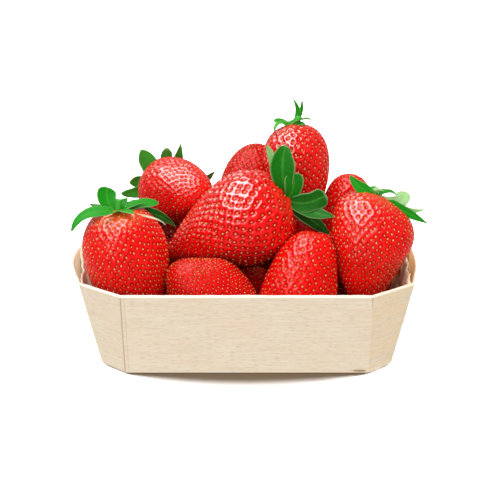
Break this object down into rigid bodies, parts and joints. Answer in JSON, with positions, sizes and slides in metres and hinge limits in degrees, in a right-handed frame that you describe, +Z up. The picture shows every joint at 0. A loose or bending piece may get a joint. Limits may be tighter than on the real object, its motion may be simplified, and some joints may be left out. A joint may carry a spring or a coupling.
{
  "type": "punnet of strawberries",
  "caption": "Open rectangular punnet of folded wood veneer with cut-off corners, heaped above its rim with whole strawberries and their leafy calyxes.",
  "frame": {"origin": "middle of the punnet's flat underside, on the surface that it stands on", "axes": "+X along the long side, to the right as seen from the front; +Y from the front panel to the back panel; +Z up, out of the open top"},
  "size_m": [0.1613, 0.0981, 0.1107],
  "materials": {
    "veneer": "raw peeled wood veneer, matt, fine grain along the panels",
    "fruit": "glossy red fruit skin",
    "leaf": "soft green leaf with fine veins",
    "seed": "golden seeds sunk in the fruit skin"
  },
  "bodies": {
    "root": {"basket": "veneer", "fruit": "fruit"}
  },
  "joints": []
}
